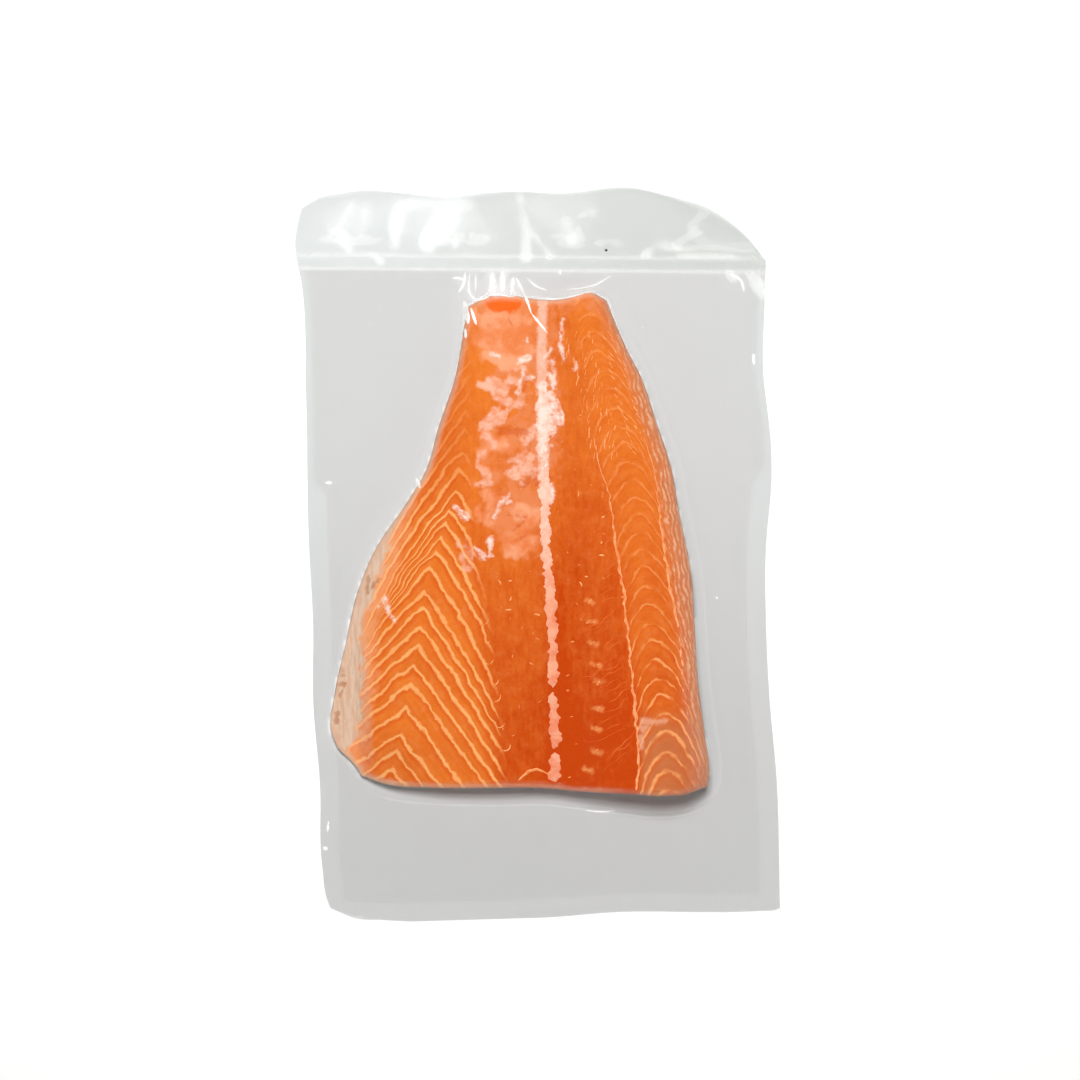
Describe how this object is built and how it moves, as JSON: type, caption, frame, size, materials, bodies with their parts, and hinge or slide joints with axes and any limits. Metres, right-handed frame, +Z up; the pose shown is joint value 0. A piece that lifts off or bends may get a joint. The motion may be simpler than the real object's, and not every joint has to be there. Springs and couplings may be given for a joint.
{
  "type": "vacuum-packed salmon fillet piece",
  "caption": "Skin-on piece of salmon fillet, flesh side up, sealed in a flat clear vacuum pouch with a raised open mouth beyond the seal.",
  "frame": {"origin": "middle of the pack's bounding box, on its flat underside", "axes": "+Z up out of the flesh side, +Y towards the pouch's mouth and the fillet's tail end, +X towards the fillet's thick back"},
  "size_m": [0.1926, 0.3, 0.0309],
  "materials": {
    "salmon_flesh": "moist raw salmon flesh, orange with paler bands",
    "clear_film": "clear glossy nylon and polyethylene film"
  },
  "bodies": {
    "root": {"salmon_fillet": "salmon_flesh", "vacuum_pouch": "clear_film"}
  },
  "joints": []
}
